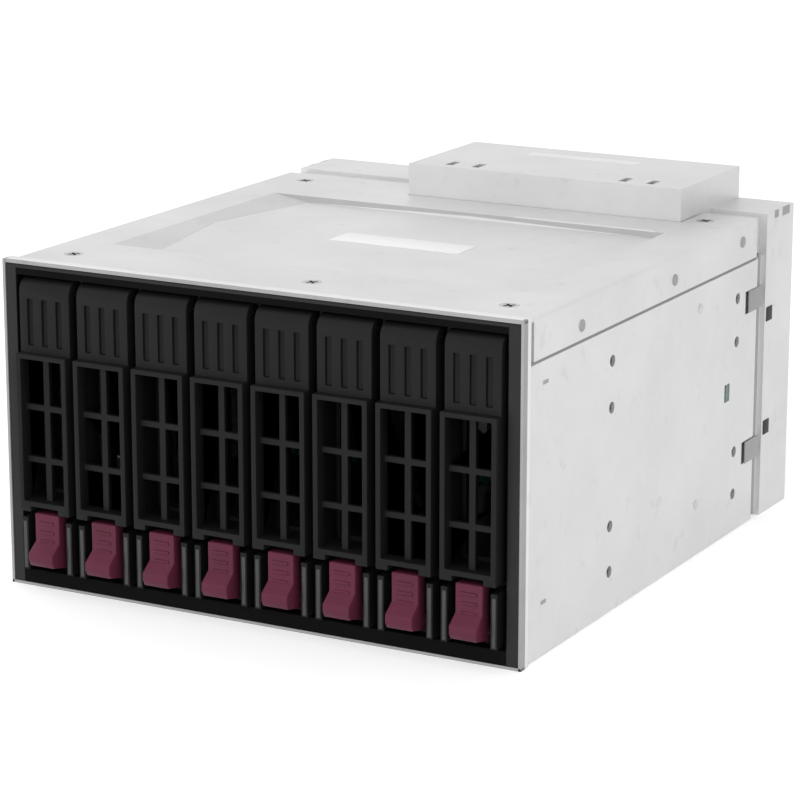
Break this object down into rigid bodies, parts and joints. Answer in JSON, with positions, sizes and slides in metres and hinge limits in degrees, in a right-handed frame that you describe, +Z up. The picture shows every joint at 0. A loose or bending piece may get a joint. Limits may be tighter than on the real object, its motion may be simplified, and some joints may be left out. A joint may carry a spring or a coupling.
{
  "type": "hot swap drive cage",
  "caption": "Wide sheet steel bay module with upright hot swap drive carriers behind a black bezel, burgundy release latches, a stamped top cover and a raised rear fan cowl.",
  "frame": {"origin": "middle of the footprint's box, on the plane the cage stands on", "axes": "+X to the right seen from the front, +Y from the bezel to the rear fan, +Z up"},
  "size_m": [0.146, 0.1748, 0.0935],
  "materials": {
    "galvanised_steel": "zinc coated sheet, satin with a faint mottle",
    "screw_steel": "zinc plated",
    "pin_steel": "drawn bright",
    "guard_steel": "black coated",
    "bezel_plastic": "fine texture, black",
    "carrier_plastic": "fine texture, charcoal black",
    "burgundy_plastic": "satin burgundy",
    "clear_acrylic": "clear polished",
    "guide_plastic": "natural moulded black",
    "circuit_board": "green solder mask",
    "connector_plastic": "black glass filled",
    "power_connector_plastic": "natural nylon",
    "fan_plastic": "black glass filled"
  },
  "bodies": {
    "cage": {"front_bezel": "bezel_plastic", "chassis_shell": "galvanised_steel", "top_cover": "galvanised_steel", "cover_screws": "screw_steel", "lower_bay_guide": "guide_plastic", "upper_bay_guide": "guide_plastic", "backplane_board": "circuit_board", "drive_connectors": "connector_plastic", "data_connectors": "connector_plastic", "power_connectors": "power_connector_plastic", "rear_housing": "galvanised_steel", "fan_frame": "fan_plastic", "finger_guard": "guard_steel", "fan_screws": "screw_steel"},
    "fan_rotor": {"fan_rotor": "fan_plastic"},
    "carrier_1": {"carrier_1_tray": "carrier_plastic", "carrier_1_light_pipes": "clear_acrylic", "carrier_1_hardware": "pin_steel"},
    "lever_1": {"carrier_1_lever": "carrier_plastic"},
    "latch_1": {"carrier_1_latch": "burgundy_plastic"},
    "carrier_2": {"carrier_2_tray": "carrier_plastic", "carrier_2_light_pipes": "clear_acrylic", "carrier_2_hardware": "pin_steel"},
    "lever_2": {"carrier_2_lever": "carrier_plastic"},
    "latch_2": {"carrier_2_latch": "burgundy_plastic"},
    "carrier_3": {"carrier_3_tray": "carrier_plastic", "carrier_3_light_pipes": "clear_acrylic", "carrier_3_hardware": "pin_steel"},
    "lever_3": {"carrier_3_lever": "carrier_plastic"},
    "latch_3": {"carrier_3_latch": "burgundy_plastic"},
    "carrier_4": {"carrier_4_tray": "carrier_plastic", "carrier_4_light_pipes": "clear_acrylic", "carrier_4_hardware": "pin_steel"},
    "lever_4": {"carrier_4_lever": "carrier_plastic"},
    "latch_4": {"carrier_4_latch": "burgundy_plastic"},
    "carrier_5": {"carrier_5_tray": "carrier_plastic", "carrier_5_light_pipes": "clear_acrylic", "carrier_5_hardware": "pin_steel"},
    "lever_5": {"carrier_5_lever": "carrier_plastic"},
    "latch_5": {"carrier_5_latch": "burgundy_plastic"},
    "carrier_6": {"carrier_6_tray": "carrier_plastic", "carrier_6_light_pipes": "clear_acrylic", "carrier_6_hardware": "pin_steel"},
    "lever_6": {"carrier_6_lever": "carrier_plastic"},
    "latch_6": {"carrier_6_latch": "burgundy_plastic"},
    "carrier_7": {"carrier_7_tray": "carrier_plastic", "carrier_7_light_pipes": "clear_acrylic", "carrier_7_hardware": "pin_steel"},
    "lever_7": {"carrier_7_lever": "carrier_plastic"},
    "latch_7": {"carrier_7_latch": "burgundy_plastic"},
    "carrier_8": {"carrier_8_tray": "carrier_plastic", "carrier_8_light_pipes": "clear_acrylic", "carrier_8_hardware": "pin_steel"},
    "lever_8": {"carrier_8_lever": "carrier_plastic"},
    "latch_8": {"carrier_8_latch": "burgundy_plastic"}
  },
  "joints": [
    {"name": "fan_spin", "type": "hinge", "parent": "cage", "child": "fan_rotor", "pos_m": [0.0155, 0.0642, 0.0523], "axis": [0, 1, 0], "continuous": true},
    {"name": "carrier_1_slide", "type": "slide", "parent": "cage", "child": "carrier_1", "axis": [0, -1, 0], "range_m": [0, 0.12]},
    {"name": "lever_1_swing", "type": "hinge", "parent": "carrier_1", "child": "lever_1", "pos_m": [-0.06037, -0.079, 0.0774], "axis": [-1, 0, 0], "range_deg": [0, 55]},
    {"name": "latch_1_tilt", "type": "hinge", "parent": "carrier_1", "child": "latch_1", "pos_m": [-0.06037, -0.0786, 0.0076], "axis": [1, 0, 0], "range_deg": [0, 12], "stiffness_Nm_per_rad": 0.02, "springref_deg": -8.59},
    {"name": "carrier_2_slide", "type": "slide", "parent": "cage", "child": "carrier_2", "axis": [0, -1, 0], "range_m": [0, 0.12]},
    {"name": "lever_2_swing", "type": "hinge", "parent": "carrier_2", "child": "lever_2", "pos_m": [-0.04312, -0.079, 0.0774], "axis": [-1, 0, 0], "range_deg": [0, 55]},
    {"name": "latch_2_tilt", "type": "hinge", "parent": "carrier_2", "child": "latch_2", "pos_m": [-0.04312, -0.0786, 0.0076], "axis": [1, 0, 0], "range_deg": [0, 12], "stiffness_Nm_per_rad": 0.02, "springref_deg": -8.59},
    {"name": "carrier_3_slide", "type": "slide", "parent": "cage", "child": "carrier_3", "axis": [0, -1, 0], "range_m": [0, 0.12]},
    {"name": "lever_3_swing", "type": "hinge", "parent": "carrier_3", "child": "lever_3", "pos_m": [-0.02587, -0.079, 0.0774], "axis": [-1, 0, 0], "range_deg": [0, 55]},
    {"name": "latch_3_tilt", "type": "hinge", "parent": "carrier_3", "child": "latch_3", "pos_m": [-0.02587, -0.0786, 0.0076], "axis": [1, 0, 0], "range_deg": [0, 12], "stiffness_Nm_per_rad": 0.02, "springref_deg": -8.59},
    {"name": "carrier_4_slide", "type": "slide", "parent": "cage", "child": "carrier_4", "axis": [0, -1, 0], "range_m": [0, 0.12]},
    {"name": "lever_4_swing", "type": "hinge", "parent": "carrier_4", "child": "lever_4", "pos_m": [-0.00863, -0.079, 0.0774], "axis": [-1, 0, 0], "range_deg": [0, 55]},
    {"name": "latch_4_tilt", "type": "hinge", "parent": "carrier_4", "child": "latch_4", "pos_m": [-0.00863, -0.0786, 0.0076], "axis": [1, 0, 0], "range_deg": [0, 12], "stiffness_Nm_per_rad": 0.02, "springref_deg": -8.59},
    {"name": "carrier_5_slide", "type": "slide", "parent": "cage", "child": "carrier_5", "axis": [0, -1, 0], "range_m": [0, 0.12]},
    {"name": "lever_5_swing", "type": "hinge", "parent": "carrier_5", "child": "lever_5", "pos_m": [0.00863, -0.079, 0.0774], "axis": [-1, 0, 0], "range_deg": [0, 55]},
    {"name": "latch_5_tilt", "type": "hinge", "parent": "carrier_5", "child": "latch_5", "pos_m": [0.00863, -0.0786, 0.0076], "axis": [1, 0, 0], "range_deg": [0, 12], "stiffness_Nm_per_rad": 0.02, "springref_deg": -8.59},
    {"name": "carrier_6_slide", "type": "slide", "parent": "cage", "child": "carrier_6", "axis": [0, -1, 0], "range_m": [0, 0.12]},
    {"name": "lever_6_swing", "type": "hinge", "parent": "carrier_6", "child": "lever_6", "pos_m": [0.02587, -0.079, 0.0774], "axis": [-1, 0, 0], "range_deg": [0, 55]},
    {"name": "latch_6_tilt", "type": "hinge", "parent": "carrier_6", "child": "latch_6", "pos_m": [0.02587, -0.0786, 0.0076], "axis": [1, 0, 0], "range_deg": [0, 12], "stiffness_Nm_per_rad": 0.02, "springref_deg": -8.59},
    {"name": "carrier_7_slide", "type": "slide", "parent": "cage", "child": "carrier_7", "axis": [0, -1, 0], "range_m": [0, 0.12]},
    {"name": "lever_7_swing", "type": "hinge", "parent": "carrier_7", "child": "lever_7", "pos_m": [0.04312, -0.079, 0.0774], "axis": [-1, 0, 0], "range_deg": [0, 55]},
    {"name": "latch_7_tilt", "type": "hinge", "parent": "carrier_7", "child": "latch_7", "pos_m": [0.04312, -0.0786, 0.0076], "axis": [1, 0, 0], "range_deg": [0, 12], "stiffness_Nm_per_rad": 0.02, "springref_deg": -8.59},
    {"name": "carrier_8_slide", "type": "slide", "parent": "cage", "child": "carrier_8", "axis": [0, -1, 0], "range_m": [0, 0.12]},
    {"name": "lever_8_swing", "type": "hinge", "parent": "carrier_8", "child": "lever_8", "pos_m": [0.06037, -0.079, 0.0774], "axis": [-1, 0, 0], "range_deg": [0, 55]},
    {"name": "latch_8_tilt", "type": "hinge", "parent": "carrier_8", "child": "latch_8", "pos_m": [0.06037, -0.0786, 0.0076], "axis": [1, 0, 0], "range_deg": [0, 12], "stiffness_Nm_per_rad": 0.02, "springref_deg": -8.59}
  ]
}
